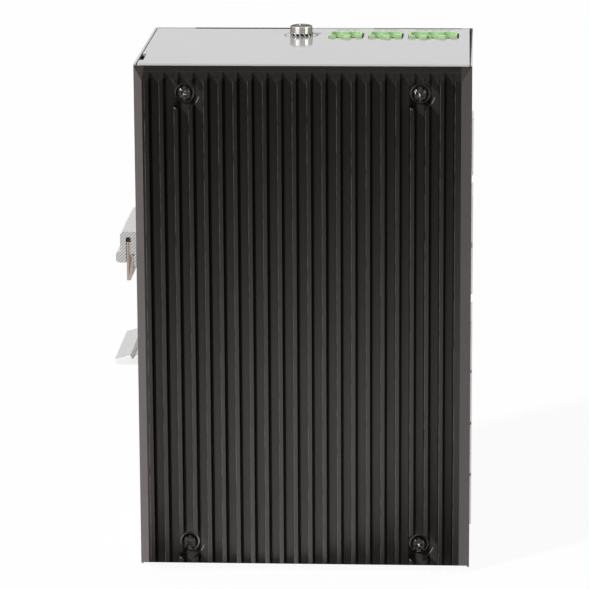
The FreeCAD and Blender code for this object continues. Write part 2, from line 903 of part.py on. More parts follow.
# ---------------------------------------------------------------- boards and what carries them

def board(label, face):
    """Circuit board beside the chassis wall, with its four mounting holes; face is its near side."""
    body = new_body(label)
    outline = new_sketch(body, "Outline", "XZ_Plane", -face)
    draw_box(outline, board_start, board_inset, board_end, height - board_inset)
    for x, z in spacer_places:
        draw_circle(outline, x, z, screw_hole)
    pad(body, "Laminate", outline, board_gauge, flip=True)
    parts.append(body)
    return body


def boards():
    board("main_board", main_board_back)
    power = board("power_board", power_board_face)
    tails = new_sketch(power, "TailHoles", "XZ_Plane", -power_board_face)
    tail_level = header_foot - pin_drop + pin_width / 2
    for left, poles, lobes in header_plan:
        for index in range(poles):
            draw_circle(tails, left + pole_x(index), tail_level, pin_width * 0.8)
    pocket(power, "TailCuts", tails, board_gauge)

    socket_start = board_start - socket_reach
    span = power_board_face - main_board_face
    block("link_board", socket_start - board_gauge, main_board_face, link_foot, board_gauge, span, link_length)
    for side, near in (("main", main_board_face), ("power", power_board_face - link_width)):
        block(f"link_plug_{side}", board_start, near, link_foot, plug_reach, link_width, link_length)
        block(f"link_socket_{side}", socket_start, near, link_foot, socket_reach, link_width, link_length)


def spacers():
    """Stand-offs on the chassis wall, long hexagon spacers between the boards, and the board screws."""
    standoff = collar("Standoff", spacer_flats / 2, screw_hole, wall_standoff)
    copies("wall_standoffs", standoff, [(x, wall_inner, z, TOWARD_FAR) for x, z in spacer_places])

    spacer = new_body("Spacer")
    across_corners = spacer_flats / math.sqrt(3)
    turns = [math.pi / 3 * index for index in range(6)]
    hexagon = draw(
        new_sketch(spacer, "Hexagon", "XY_Plane"),
        *[(across_corners * math.cos(turn), across_corners * math.sin(turn)) for turn in turns],
    )
    span = power_board_face - main_board_face
    pad(spacer, "Bar", hexagon, span)
    stud = draw_circle(new_sketch(spacer, "Stud", "XY_Plane"), 0, 0, screw_radius)
    pad(spacer, "StudPad", stud, board_gauge + stud_length, flip=True)
    tapped = draw_circle(new_sketch(spacer, "Tapped", "XY_Plane", span), 0, 0, screw_hole)
    pocket(spacer, "TappedHole", tapped, stud_length + 1.0)
    copies("long_spacers", spacer, [(x, main_board_face, z, TOWARD_FAR) for x, z in spacer_places])

    board_screw = screw("BoardScrew", pan_radius, pan_height, pan_round, screw_radius, board_gauge + stud_length)
    seat = power_board_face + board_gauge
    copies("board_screws", board_screw, [(x, seat, z, TOWARD_FAR) for x, z in spacer_places])


# ---------------------------------------------------------------- ports

def jack(label, level, rows, body_depth):
    """Shielded jack block: one stepped port a row, with the latch slots turned away from each other."""
    body = new_body(label)
    outline = new_sketch(body, "Outline", "YZ_Plane")
    draw_box(outline, 0, -jack_width / 2, rows * jack_level, jack_width / 2)
    pad(body, "Shell", outline, body_depth)
    ports = new_sketch(body, "Ports", "YZ_Plane", body_depth)
    for row in range(rows):
        away = 1 if row == 0 else -1
        latch_top = port_inset if row == 0 else rows * jack_level - port_inset
        step = latch_top + away * latch_height
        end = step + away * port_height
        draw(
            ports,
            (latch_top, -latch_width / 2),
            (step, -latch_width / 2),
            (step, -port_width / 2),
            (end, -port_width / 2),
            (end, port_width / 2),
            (step, port_width / 2),
            (step, latch_width / 2),
            (latch_top, latch_width / 2),
        )
    pocket(body, "PortCuts", ports, port_depth)
    place(body, port_front - body_depth, main_board_face, level)
    parts.append(body)


def module_cage(label, level):
    """Sheet cage with two slots, one above the other, for plug-in fibre modules."""
    body = new_body(label)
    outline = new_sketch(body, "Outline", "YZ_Plane")
    draw_box(outline, 0, -cage_width / 2, 2 * cage_level, cage_width / 2)
    pad(body, "Cage", outline, cage_depth)
    slots = new_sketch(body, "Slots", "YZ_Plane", cage_depth)
    for row in range(2):
        draw_box(
            slots,
            row * cage_level + cage_wall,
            cage_wall - cage_width / 2,
            (row + 1) * cage_level - cage_wall,
            cage_width / 2 - cage_wall,
        )
    pocket(body, "SlotCuts", slots, cage_depth - cage_level)
    place(body, port_front - cage_depth, main_board_face, level)
    parts.append(body)


def ports():
    for index, level in enumerate(jack_levels):
        jack(f"port_jack_{index + 1}", level, 2, jack_depth)
    for index, level in enumerate(cage_levels):
        module_cage(f"module_cage_{index + 1}", level)
    jack("console_jack", console_level, 1, console_depth)

    lamp_seat = front_face - cover_gauge - panel_gap
    block(
        "lamp_housing",
        lamp_seat - lamp_housing,
        power_board_face - lamp_housing,
        lamp_levels[0] - lamp_pitch / 2,
        lamp_housing,
        lamp_housing,
        lamp_count * lamp_pitch,
    )
    lamp = new_body("Lamp")
    pad(lamp, "Lens", draw_circle(new_sketch(lamp, "Circle", "XY_Plane"), 0, 0, lamp_radius), port_front - lamp_seat)
    copies("status_lamps", lamp, [(lamp_seat, lamp_y, level, TOWARD_FRONT) for level in lamp_levels])


# ---------------------------------------------------------------- parts on the boards

def board_parts():
    half = chip_side / 2
    chip_near = main_board_back - chip_height
    block("switch_chip", chip_x - half, chip_near, chip_z - half, chip_side, chip_height, chip_side)
    half = pad_side / 2
    block("thermal_pad", chip_x - half, wall_inner, chip_z - half, pad_side, chip_near - wall_inner, pad_side)

    chip = new_body("PortChip")
    half = port_chip_side / 2
    square = new_sketch(chip, "Square", "XY_Plane")
    draw_box(square, -half, -half, half, half)
    pad(chip, "Package", square, port_chip_height)
    copies("port_chips", chip, [(port_chip_x, main_board_face, level, TOWARD_FAR) for level in jack_levels])

    can = new_body("Capacitor")
    pad(can, "Can", draw_circle(new_sketch(can, "Circle", "XY_Plane"), 0, 0, capacitor_radius), capacitor_height)
    places = [
        (capacitor_x + capacitor_pitch * index, power_board_face, height - capacitor_drop, TOWARD_NEAR)
        for index in range(3)
    ]
    copies("capacitors", can, places)

    half = transformer_side / 2
    block(
        "power_transformer",
        transformer_x - half,
        power_board_face - transformer_height,
        height - transformer_drop - half,
        transformer_side,
        transformer_height,
        transformer_side,
    )
    block(
        "alarm_relay",
        relay_x - relay_length / 2,
        power_board_face - relay_height,
        height - relay_drop - relay_width / 2,
        relay_length,
        relay_height,
        relay_width,
    )


# ---------------------------------------------------------------- build

base_chassis()
cover()
heat_sink()
rail_bracket()
rail_spring()
fasteners()
ground_terminal()
for number, (left, poles, lobes) in enumerate(header_plan):
    terminal_header(f"terminal_header_{number + 1}", left, poles, lobes)
header_pins()
boards()
spacers()
ports()
board_parts()

doc.recompute()
for item in doc.Objects:
    if "Invalid" in item.State or "Error" in item.State:
        raise RuntimeError(f"{item.Label} failed: {item.State}")
for part in parts:
    if part.Shape.isNull() or not part.Shape.isValid():
        raise RuntimeError(f"{part.Label} has no valid shape")

os.makedirs("parts", exist_ok=True)
for part in parts:
    part.Shape.exportStep(f"parts/{part.Label}.step")
    print(part.Label, len(part.Shape.Solids), round(part.Shape.Volume, 1))
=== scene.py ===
# A network switch for a 35 mm rail: folded steel case, finned heat sink, rail bracket,
# plug-in terminal headers on top and ports on the front. All lengths are in metres.
import math

import bmesh
import bpy
from mathutils import Matrix, Vector


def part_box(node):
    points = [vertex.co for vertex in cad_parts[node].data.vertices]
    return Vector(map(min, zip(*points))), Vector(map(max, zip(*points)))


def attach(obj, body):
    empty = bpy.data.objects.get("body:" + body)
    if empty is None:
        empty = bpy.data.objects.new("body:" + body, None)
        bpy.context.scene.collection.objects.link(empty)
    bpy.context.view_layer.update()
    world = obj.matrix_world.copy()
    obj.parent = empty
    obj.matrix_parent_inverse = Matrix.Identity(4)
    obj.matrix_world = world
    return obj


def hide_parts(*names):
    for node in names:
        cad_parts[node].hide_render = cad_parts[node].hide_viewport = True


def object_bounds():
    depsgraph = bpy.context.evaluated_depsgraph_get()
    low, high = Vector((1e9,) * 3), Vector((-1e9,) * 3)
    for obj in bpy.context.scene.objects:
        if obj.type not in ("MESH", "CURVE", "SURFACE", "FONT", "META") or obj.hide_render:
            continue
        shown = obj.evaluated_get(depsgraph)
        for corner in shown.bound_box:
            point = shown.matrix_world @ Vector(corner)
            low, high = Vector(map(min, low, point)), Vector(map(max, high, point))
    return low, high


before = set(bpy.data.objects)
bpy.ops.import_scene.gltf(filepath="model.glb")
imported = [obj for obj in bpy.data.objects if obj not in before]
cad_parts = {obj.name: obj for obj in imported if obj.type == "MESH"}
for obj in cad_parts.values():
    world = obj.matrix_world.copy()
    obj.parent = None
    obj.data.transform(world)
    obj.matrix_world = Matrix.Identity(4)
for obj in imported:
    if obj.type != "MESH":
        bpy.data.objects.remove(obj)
cad_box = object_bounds()
MM = 0.001


# ---------------------------------------------------------------- camera
# A long lens looks at the finned side, a little from the right and from above.
camera_target = Vector((-2.818, -33.0, 88.966)) * MM
camera_azimuth = math.radians(3.133)
camera_elevation = math.radians(13.296)
camera_roll = math.radians(-0.313)
camera_distance = 1075.95 * MM

camera_data = bpy.data.cameras.new("camera")
camera_data.sensor_width = 36.0
camera_data.lens = 209.35
camera_data.clip_start = 0.05
camera_data.clip_end = 50.0
camera = bpy.data.objects.new("camera", camera_data)
bpy.context.scene.collection.objects.link(camera)
camera_back = Vector(
    (
        math.sin(camera_azimuth) * math.cos(camera_elevation),
        -math.cos(camera_azimuth) * math.cos(camera_elevation),
        math.sin(camera_elevation),
    )
)
camera_right = (-camera_back).cross(Vector((0, 0, 1))).normalized()
camera_up = camera_right.cross(-camera_back)
turned_right = camera_right * math.cos(camera_roll) + camera_up * math.sin(camera_roll)
turned_up = camera_up * math.cos(camera_roll) - camera_right * math.sin(camera_roll)
camera.matrix_world = Matrix.Translation(camera_target + camera_back * camera_distance) @ Matrix(
    (turned_right, turned_up, camera_back)
).transposed().to_4x4()
bpy.context.scene.camera = camera


# ---------------------------------------------------------------- floor and light
# A pale table that runs off to a white room, a soft key light from the upper left,
# a weaker one from the right, and even light from the room.
class Link:
    """A socket in a material's nodes: sums and products with it add Math nodes."""

    def __init__(self, tree, socket=None):
        self.tree = tree
        self.socket = socket

    def node(self, kind, settings=None, sockets=None, output=0):
        """Add any node: first its settings, then the values or links of its sockets."""
        made = self.tree.nodes.new("ShaderNode" + kind)
        for name, value in (settings or {}).items():
            setattr(made, name, value)
        for name, value in (sockets or {}).items():
            if isinstance(value, Link):
                self.tree.links.new(value.socket, made.inputs[name])
            else:
                made.inputs[name].default_value = value
        return Link(self.tree, made.outputs[output]) if made.outputs else None

    def math(self, operation, first, second=0.0, third=0.0, clamp=False):
        settings = {"operation": operation, "use_clamp": clamp}
        return self.node("Math", settings, {0: first, 1: second, 2: third})

    def __add__(self, other):
        return self.math("ADD", self, other)

    def __radd__(self, other):
        return self.math("ADD", other, self)

    def __sub__(self, other):
        return self.math("SUBTRACT", self, other)

    def __rsub__(self, other):
        return self.math("SUBTRACT", other, self)

    def __mul__(self, other):
        return self.math("MULTIPLY", self, other)

    def __rmul__(self, other):
        return self.math("MULTIPLY", other, self)

    def __truediv__(self, other):
        return self.math("DIVIDE", self, other)

    def __abs__(self):
        return self.math("ABSOLUTE", self)

    def most(self, other):
        return self.math("MAXIMUM", self, other)

    def over(self, edge, soft=0.0):
        """1 where this is above the edge and 0 below, with a soft step if one is given."""
        if not soft:
            return self.math("GREATER_THAN", self, edge)
        return self.math("ADD", (self - edge) / soft, 0.5, clamp=True)

    def near(self, middle, half, soft=0.0):
        """1 where this is within half of the middle and 0 elsewhere."""
        return 1 - abs(self - middle).over(half, soft)

    def wrapped(self, pitch):
        """Distance from the nearest whole number of pitches."""
        return self.math("WRAP", self, pitch / 2, -pitch / 2)

    def reach(self, other):
        """Distance from the axis, from the two coordinates across it."""
        return self.math("SQRT", self * self + other * other)

    def parts(self):
        """The three numbers of a vector."""
        return [self.node("SeparateXYZ", None, {0: self}, index) for index in range(3)]

    def blend(self, low, high):
        """Colour low where this is 0 and high where it is 1."""
        low = low if isinstance(low, Link) else (*low, 1.0)
        high = high if isinstance(high, Link) else (*high, 1.0)
        return self.node("Mix", {"data_type": "RGBA"}, {0: self, 6: low, 7: high}, 2)


def any_of(masks):
    """1 where any of the masks is 1."""
    whole = masks[0]
    for mask in masks[1:]:
        whole = whole.most(mask)
    return whole


def start_nodes(owner):
    """Empty node tree of a material or world, as a Link to build on."""
    owner.use_nodes = True
    owner.node_tree.nodes.clear()
    return Link(owner.node_tree)


def new_material(name):
    """A material with no nodes yet, and the Link to build them on."""
    owner = bpy.data.materials.new(name)
    return owner, start_nodes(owner)


def finish_mixed(start, owner, share, first, second):
    """End a material in a mix of two shaders: the first where share is 0, the second where it is 1."""
    surface = start.node("MixShader", None, {0: share, 1: first, 2: second})
    start.node("OutputMaterial", None, {"Surface": surface})
    return owner


def seen_directly(start):
    """1 for camera, mirror and glass rays, which show the room as plain white."""
    return any_of([start.node("LightPath", None, None, name) for name in
                   ("Is Camera Ray", "Is Glossy Ray", "Is Transmission Ray")])


def as_mesh(name, made):
    """Mesh of a finished bmesh."""
    mesh = bpy.data.meshes.new(name)
    made.to_mesh(mesh)
    made.free()
    return mesh


def as_object(name, made):
    item = bpy.data.objects.new(name, as_mesh(name, made))
    bpy.context.scene.collection.objects.link(item)
    return item


bpy.context.scene.view_settings.view_transform = "Standard"
room_light = 0.25
world = bpy.data.worlds.new("room")
bpy.context.scene.world = world
start = start_nodes(world)
strength = seen_directly(start) * (1 - room_light) + room_light
room = start.node("Background", None, {"Color": (1, 1, 1, 1), "Strength": strength})
start.node("OutputWorld", None, {"Surface": room})

floor_reach, floor_gap = 12.0, 0.05 * MM
floor_tone, floor_glow = 0.95, 0.94
made = bmesh.new()
bmesh.ops.create_grid(made, x_segments=1, y_segments=1, size=floor_reach)
bmesh.ops.translate(made, verts=made.verts, vec=(0, 0, cad_box[0].z - floor_gap))
floor = as_object("floor", made)
floor_material, start = new_material("floor_card")
card = start.node("BsdfDiffuse", None, {"Color": (floor_tone, floor_tone, floor_tone, 1)})
glow = start.node("Emission", None, {"Color": (1, 1, 1, 1), "Strength": 1.0})
finish_mixed(start, floor_material, seen_directly(start) * floor_glow, card, glow)
floor.data.materials.append(floor_material)


def add_light(name, kind, strength):
    data = bpy.data.lights.new(name, kind)
    data.energy = strength
    lamp = bpy.data.objects.new(name, data)
    bpy.context.scene.collection.objects.link(lamp)
    return lamp


def aim(lamp, toward):
    """Turn a lamp so that its light comes from a direction."""
    lamp.rotation_mode = "QUATERNION"
    lamp.rotation_quaternion = Vector(toward).to_track_quat("Z", "Y")


def add_sun(name, toward, strength, spread):
    """Soft light from a direction, the same over the whole table."""
    lamp = add_light(name, "SUN", strength)
    lamp.data.angle = math.radians(spread)
    aim(lamp, toward)
    return lamp


def add_screen(name, shape, width, height, strength):
    """Lit screen that is only seen mirrored in the pieces that it lights."""
    lamp = add_light(name, "AREA", strength)
    lamp.data.shape = shape
    lamp.data.size, lamp.data.size_y = width, height
    lamp.visible_camera = False
    lamp.visible_diffuse = False
    return lamp


def group_of(name, items):
    """Collection that a lamp is linked to, so that it lights nothing else."""
    group = bpy.data.collections.new(name)
    for item in items:
        group.objects.link(item)
    return group


key_direction = (-1.1, -1.0, 1.13)
add_sun("key_light", key_direction, 3.15, 4)
add_sun("fill_light", (1.3, -1.0, 0.5), 0.35, 20)

# a lit card that lies on the table in front of the fins
card_lamp = add_screen("card_light", "ELLIPSE", 0.13, 0.37, 1.48)
card_lamp.location = Vector((-11.0, -226.0, 2.0)) * MM
card_lamp.rotation_euler = (math.pi, 0, 0)
finned_side = group_of("finned_side", [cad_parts["heat_sink"]])
card_lamp.light_linking.receiver_collection = finned_side


# ---------------------------------------------------------------- case
# Two folded steel sheets that interlock, painted light grey with a smooth satin powder
# coat. Thin printed lines mark the earth screw and the terminals.
def placed(start, centre=(0, 0, 0), scale=(1, 1, 1)):
    """Object coordinates about a centre, scaled by a Mapping node."""
    where = start.node("TexCoord", None, None, "Object")
    away = [-part for part in centre]
    moved = start.node("Mapping", {"vector_type": "POINT"}, {"Vector": where, "Location": away})
    return start.node("Mapping", {"vector_type": "POINT"}, {"Vector": moved, "Scale": scale})


def noise(start, where, scale, detail):
    return start.node("TexNoise", None, {"Vector": where, "Scale": scale, "Detail": detail, "Roughness": 0.5})


def principled(start, sockets, height=None, depth=0.0, edge=0.0):
    """Principled shader, its sharp edges rounded by edge, with a bump of that depth from a height."""
    values = dict(sockets)
    if edge:
        values["Normal"] = start.node("Bevel", {"samples": 6}, {"Radius": edge})
    if height is not None:
        bump = {"Height": height, "Distance": depth, "Strength": 1.0}
        if edge:
            bump["Normal"] = values["Normal"]
        values["Normal"] = start.node("Bump", None, bump)
    return start.node("BsdfPrincipled", None, values)


def finish(start, owner, sockets, height=None, depth=0.0, edge=0.0):
    """End a material in one Principled shader."""
    shader = principled(start, sockets, height, depth, edge)
    start.node("OutputMaterial", None, {"Surface": shader})
    return owner


def dress(material, *names):
    """Give CAD nodes a material, in place of their own."""
    for name in names:
        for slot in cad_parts[name].material_slots:
            slot.material = material


case_low, case_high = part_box("base_chassis")
ground_low, ground_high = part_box("ground_washer")
ground_middle = (ground_low + ground_high) / 2
header_boxes = [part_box(f"terminal_header_{number}") for number in (1, 2, 3)]


def printed_marks(start, across, deep):
    """A ring and an earth sign by the earth screw, and a line with ticks behind each header."""
    ink_edge = 0.06 * MM
    ring_radius, ring_half = 5.35 * MM, 0.24 * MM
    sign_x, sign_y, bar_half = 5.5 * MM, 5.2 * MM, 0.28 * MM
    line_away, line_half = 8.3 * MM, 0.45 * MM
    tick_away, tick_half, tick_pitch = 1.7 * MM, 0.55 * MM, 2.54 * MM
    x, y, z = placed(start, ground_middle).parts()
    marks = x.reach(y).near(ring_radius, ring_half, ink_edge) * 0.75
    for drop, half in ((0.0, 1.35), (0.85, 0.85), (1.7, 0.4)):
        bar = y.near(sign_y - drop * MM, bar_half, ink_edge) * x.near(sign_x, half * MM, ink_edge)
        marks = marks.most(bar * 0.35)
    for low, high in header_boxes:
        middle, half = (low.x + high.x) / 2, (high.x - low.x) / 2
        line_depth = high.y + line_away
        inside = across.near(middle, half * 0.8, 0.05 * MM)
        line = deep.near(line_depth, line_half, 0.1 * MM) * inside
        tick = (across - middle).wrapped(tick_pitch).near(0.0, tick_half, ink_edge)
        tick = tick * deep.near(line_depth - tick_away, tick_half, ink_edge) * inside
        marks = marks.most((line * 0.45).most(tick * 0.4))
    return marks * z.over(-0.6 * MM)


def bare_edge_and_seam_shade(across, deep, level):
    """Bare cut edge of the cover along the far side, with painted shade of the gap beside it, and painted shade
    in the gap before its front.
    """
    # the bare edge and its painted shade are wider on the left of the earth screw
    far_left = across.over(-39 * MM) * (1 - across.over(-7 * MM)) * deep.over(case_high.y - 1.9 * MM)
    far_right = across.over(20 * MM) * (1 - across.over(49 * MM)) * deep.over(case_high.y - 0.1 * MM)
    far_edge_and_gap_shade = far_left.most(far_right * 0.65) * level.over(case_high.z - 0.5 * MM)
    # the painted shade of the gap widens towards the far side
    along = deep - case_low.y
    seam_gap_shade = (across + along * 0.0034).over(51.75 * MM) * (1 - (across - along * 0.0055).over(52.0 * MM))
    return far_edge_and_gap_shade.most(seam_gap_shade * level.over(case_high.z - 1.5 * MM))


def case_paint():
    """Grey paint, with dark ink for the printed marks and painted shade in the seams."""
    owner, start = new_material("case_paint")
    where = placed(start)
    across, deep, level = where.parts()
    dark = printed_marks(start, across, deep).most(bare_edge_and_seam_shade(across, deep, level) * 0.97)
    mottle = noise(start, where, 60, 3)
    grain = noise(start, where, 900, 2)
    fleck = noise(start, where, 1500, 1).over(0.80, 0.03)
    colour = mottle.blend((0.40, 0.40, 0.40), (0.42, 0.42, 0.42))
    colour = (fleck * 0.35).blend(colour, (0.30, 0.30, 0.29))
    paint = principled(start, {"Base Color": colour, "Roughness": 0.055 + mottle * 0.05}, grain, 0.0006 * MM)
    ink_and_shade = principled(start, {"Base Color": (0.025, 0.018, 0.014, 1.0), "Roughness": 0.6,
                             "Specular IOR Level": 0.1})
    return finish_mixed(start, owner, dark, paint, ink_and_shade)


dress(case_paint(), "base_chassis", "cover")


# ---------------------------------------------------------------- heat sink
# Black anodised aluminium bar with 21 milled grooves, its ends and sides bevelled, and
# a round pocket milled at each corner for the screw that holds it to the case.
sink_low, sink_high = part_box("heat_sink")
side_bevel, top_bevel = 3.3 * MM, 3.4 * MM
groove_count, groove_pitch, groove_half, groove_depth = 21, 4.56 * MM, 1.63 * MM, 4.9 * MM
pocket_radius, pocket_inset_x, pocket_inset_z = 4.6 * MM, 16.02 * MM, 8.1 * MM


def painted_pocket_glints(start, milled, depth):
    """Painted highlights: a bright arc at the lower right of each screw pocket, on the groove floor, and a
    bright glint on the rim of the fin at its lower left."""
    marks = []
    for x in (sink_low.x + pocket_inset_x, sink_high.x - pocket_inset_x):
        for z in (sink_low.z + pocket_inset_z, sink_high.z - pocket_inset_z):
            right, _, up = placed(start, (x, 0, z)).parts()
            reach = right.reach(up)
            ring = reach.near(pocket_radius, 0.13 * MM, 0.08 * MM)
            arc = ring * (right * 0.848 - up * 0.53).over(reach * 0.95) * milled
            rim_glint = ring * (right * -0.63 - up * 0.777).over(reach * 0.985) * (1 - depth.over(0.5 * MM))
            marks += [arc, rim_glint]
    return any_of(marks)


def anodised_black():
    """Black dye, with painted light on the fin tops and groove floors low down, a painted highlight along each
    fin's left edge, painted glints at the pockets, and painted shade in the groove corners.
    """
    owner, start = new_material("anodised_black")
    where = placed(start)
    across, deep, level = where.parts()
    in_groove = across.wrapped(groove_pitch)
    depth = deep - sink_low.y
    facing = start.node("NewGeometry", None, None, "Normal").parts()[0]
    lines = noise(start, placed(start, scale=(1, 1, 0.02)), 2500, 2)
    fine = noise(start, where, 3000, 2)
    cloud = noise(start, where, 40, 3)
    milled = depth.near(groove_depth, 0.2 * MM, 0.1 * MM)
    on_side = abs(across).over(sink_high.x - side_bevel)
    on_end = level.over(sink_high.z - top_bevel)
    finned = 1 - on_side.most(on_end)
    inside = depth.over(0.3 * MM, 0.3 * MM) * finned

    # painted light makes the tops paler below their upper ends, and the floors paler low down
    painted_light_low = (1 - level.over(118 * MM, 70 * MM)) * (0.8 + cloud * 0.4)
    black = cloud.blend((0.0038, 0.0036, 0.0033), (0.0056, 0.0053, 0.0050))
    top = painted_light_low.blend(black, (0.0145, 0.0141, 0.0137))
    top = on_side.blend(top, (0.022, 0.012, 0.010))
    wall = cloud.blend((0.009, 0.007, 0.006), (0.012, 0.009, 0.008))
    cut_floor = fine.blend((0.0175, 0.0169, 0.0163), (0.0235, 0.0227, 0.0219))
    # painted light: the groove floors turn paler towards the bottom
    cut_floor = (1 - level.over(14 * MM, 22 * MM)).blend(cut_floor, (0.038, 0.0355, 0.033))
    colour = milled.blend(inside.blend(top, wall), cut_floor)
    # a painted highlight runs in patches along the left edge of each fin
    painted_edge_highlight = in_groove.near(groove_half + 0.06 * MM, 0.12 * MM, 0.08 * MM) * (1 - inside) * finned
    painted_edge_highlight = painted_edge_highlight * noise(start, where, 300, 3).over(0.45, 0.3)
    colour = (painted_edge_highlight * 0.7).blend(colour, (0.085, 0.082, 0.079))
    # painted highlights at the screw pockets
    colour = (painted_pocket_glints(start, milled, depth) * 0.8).blend(colour, (0.30, 0.29, 0.28))
    colour = (fine.over(0.78, 0.03) * 0.7).blend(colour, (0.10, 0.10, 0.10))

    # painted shade at the foot of each fin, on the left of the groove and, towards the ports, thinly on its
    # right too; the walls that face the ports are as dark, the upper end a little
    left_corner = 1 - in_groove.over(0.62 * MM - groove_half, 0.15 * MM)
    right_corner = in_groove.over(groove_half - 0.42 * MM, 0.1 * MM) * across.over(26 * MM, 16 * MM)
    painted_shade = (left_corner * 0.9).most(right_corner * 0.8) * inside
    painted_shade = painted_shade.most(inside * (1 - milled) * facing.over(0.5))
    painted_shade = painted_shade * across.near(0.0, groove_pitch * groove_count / 2)
    painted_shade = painted_shade.most(on_end * (1 - on_side) * 0.25)
    # the ground sides keep more gloss than the milled face, most of all low down
    gloss = on_side * (0.40 - level * (0.21 / case_high.z))
    values = {"Base Color": colour, "Roughness": 0.36 + cloud * 0.06, "Specular IOR Level": 0.07,
              "Specular Tint": (1.0, 0.93, 0.90, 1.0), "Coat Weight": gloss, "Coat Roughness": 0.25,
              "Coat Tint": (1.0, 0.9, 0.87, 1.0)}
    skin = principled(start, values, lines * 0.6 + fine * 0.4, 0.008 * MM, 0.2 * MM)
    # dull black shader that paints the shade
    shade_black = principled(start, {"Base Color": (0.0175, 0.0112, 0.0102, 1.0), "Roughness": 0.6,
                             "Specular IOR Level": 0.0})
    return finish_mixed(start, owner, painted_shade, skin, shade_black)


dress(anodised_black(), "heat_sink")


# ---------------------------------------------------------------- heat sink screws
# Four M3 pan-head screws with a cross recess, plated black, in the milled pockets. The
# head is turned and the recess punched, so its wings narrow towards the bottom.
def turned(profile, steps=48):
    """Closed solid turned about Z from (radius, height) points, both ends on the axis or joined."""
    made = bmesh.new()
    points = [made.verts.new((radius, 0, height)) for radius, height in profile]
    edges = [made.edges.new(pair) for pair in zip(points, points[1:])]
    bmesh.ops.spin(
        made, geom=points + edges, cent=(0, 0, 0), axis=(0, 0, 1), dvec=(0, 0, 0),
        angle=2 * math.pi, steps=steps, use_merge=True, use_normal_flip=False, use_duplicate=False,
    )
    bmesh.ops.remove_doubles(made, verts=made.verts, dist=1e-7)
    bmesh.ops.recalc_face_normals(made, faces=made.faces)
    return made


def turned_ring(inner, outer, low, high):
    """Flat ring between two radii and two heights."""
    return turned([(inner, low), (outer, low), (outer, high), (inner, high), (inner, low)])


def rounded(radius, height, corner, reach, steps=6):
    """Profile of a head above its seat; its upper corner is rounded by corner down and reach in."""
    points = [(radius, 0.0), (radius, height - corner)]
    for step in range(1, steps + 1):
        turn = math.pi / 2 * step / steps
        points.append((radius - reach + reach * math.cos(turn), height - corner + corner * math.sin(turn)))
    return points + [(0.0, height)]


def recess_wing(radius, depth, angle):
    """Tapered blade that punches one bar of the cross, its sizes in parts of the head's radius."""
    lower_half, lower_width = 0.30, 0.14
    upper_half, upper_width = 0.54, 0.25
    made = bmesh.new()
    bmesh.ops.create_cube(made, size=1.0)
    for corner in made.verts:
        lower = corner.co.z < 0
        half, width = (lower_half, lower_width) if lower else (upper_half, upper_width)
        corner.co = Vector((corner.co.x * 2 * half * radius, corner.co.y * width * radius,
                            -depth if lower else 0.3 * depth))
    bmesh.ops.rotate(made, verts=made.verts, cent=(0, 0, 0), matrix=Matrix.Rotation(angle, 3, "Z"))
    return made


def cross_head_screw(radius, height, corner, reach, shank_radius, length, depth):
    """Mesh of one screw standing on its seat at the origin, head up."""
    profile = [(0.0, -length), (shank_radius, -length), (shank_radius, 0.0)]
    blank = as_object("screw_blank", turned(profile + rounded(radius, height, corner, reach)))
    cutters = []
    for angle in (0.0, math.pi / 2):
        made = recess_wing(radius, depth, angle)
        bmesh.ops.translate(made, verts=made.verts, vec=(0, 0, height))
        cutter = as_object("punch", made)
        cut = blank.modifiers.new("recess", "BOOLEAN")
        cut.operation = "DIFFERENCE"
        cut.solver = "EXACT"
        cut.object = cutter
        cutters.append(cutter)
    bpy.context.view_layer.update()
    shaped = bpy.data.meshes.new_from_object(blank.evaluated_get(bpy.context.evaluated_depsgraph_get()))
    for item in cutters + [blank]:
        bpy.data.objects.remove(item)
    return shaped


def set_pieces(name, mesh, places, material, node):
    """One object of equal pieces, each set by a matrix, in place of a CAD node if one is named."""
    made = bmesh.new()
    for place in places:
        copy = mesh.copy()
        copy.transform(place)
        made.from_mesh(copy)
        bpy.data.meshes.remove(copy)
    item = as_object(name, made)
    item.data.materials.clear()
    item.data.materials.append(material)
    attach(item, "root")
    if node:
        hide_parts(node)
    return item


def metal(name, colour, roughness, grain_scale=2000, depth=0.004, metallic=1.0, stretch=(1, 1, 1),
          edge=0.0, rim=(1, 1, 1)):
    """Cloudy plated or drawn metal, its depth of grain in millimetres."""
    owner, start = new_material(name)
    grain = noise(start, placed(start, scale=stretch), grain_scale, 2)
    cloud = noise(start, placed(start), 150, 3)
    darker = [part * 0.88 for part in colour]
    values = {"Base Color": cloud.blend(darker, colour), "Roughness": roughness + cloud * 0.08,
              "Metallic": metallic, "Specular Tint": (*rim, 1.0)}
    return finish(start, owner, values, grain, depth * MM, edge)


toward_near = Matrix.Rotation(math.radians(90), 4, "X")
screw_low, screw_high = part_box("sink_screws")
pan_radius, pan_height, shank_radius = 2.8 * MM, 1.9 * MM, 1.5 * MM
sink_head_radius, washer_stack = 2.65 * MM, 1.3 * MM
sink_screw = cross_head_screw(sink_head_radius, pan_height, 1.5 * MM, 2.2 * MM, shank_radius,
                              screw_high.y - screw_low.y - pan_height + washer_stack, 1.2 * MM)
screw_places, seat_places = [], []
seat = screw_low.y + pan_height
for turn, x, z in ((38, screw_low.x + pan_radius, screw_low.z + pan_radius),
                   (52, screw_low.x + pan_radius, screw_high.z - pan_radius),
                   (15, screw_high.x - pan_radius, screw_low.z + pan_radius),
                   (66, screw_high.x - pan_radius, screw_high.z - pan_radius)):
    seat_places.append(Matrix.Translation((x, seat, z)) @ toward_near)
    screw_places.append(Matrix.Translation((x, seat - washer_stack, z)) @ toward_near @ Matrix.Rotation(
        math.radians(turn), 4, "Z"))
head_face = screw_low.y - washer_stack


